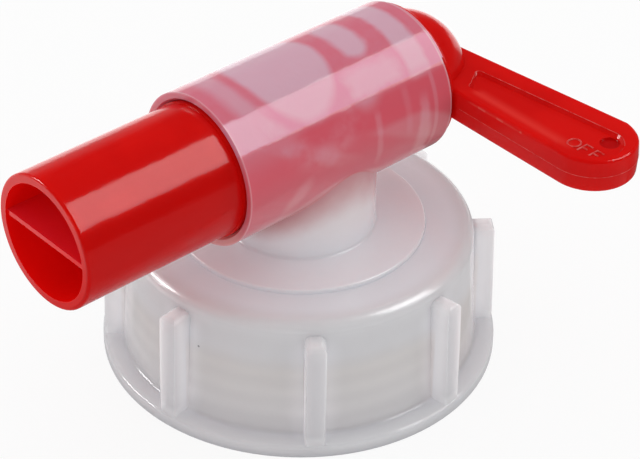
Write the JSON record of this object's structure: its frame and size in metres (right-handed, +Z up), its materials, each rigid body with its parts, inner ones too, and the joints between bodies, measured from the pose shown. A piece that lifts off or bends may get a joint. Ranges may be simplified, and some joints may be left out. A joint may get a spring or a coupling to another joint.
{
  "type": "jerrycan tap",
  "caption": "Ribbed screw cap with a level barrel in which a red spigot with a spout, domed end and paddle lever turns from shut to open.",
  "frame": {"origin": "centre of the cap's threaded mouth, in the plane the cap stands on", "axes": "+Z up along the cap's axis, +X along the barrel towards the lever's end, spout towards -X, lever towards -Y when the tap is shut"},
  "size_m": [0.0974, 0.0852, 0.0617],
  "materials": {
    "cap_plastic": "milky translucent, natural polyethylene",
    "body_plastic": "milky translucent, smooth",
    "washer_rubber": "matt",
    "spigot_plastic": "smooth moulded, semi-gloss"
  },
  "bodies": {
    "cap": {"screw_cap": "cap_plastic"},
    "tap": {"tap_body": "body_plastic", "sealing_washer": "washer_rubber"},
    "valve": {"spigot": "spigot_plastic"}
  },
  "joints": [
    {"name": "cap_turn", "type": "hinge", "parent": "cap", "child": "tap", "pos_m": [0, 0, 0], "axis": [0, 0, 1], "continuous": true},
    {"name": "lever_turn", "type": "hinge", "parent": "tap", "child": "valve", "pos_m": [0, 0, 0.04745], "axis": [-1, 0, 0], "range_deg": [0, 180]}
  ]
}
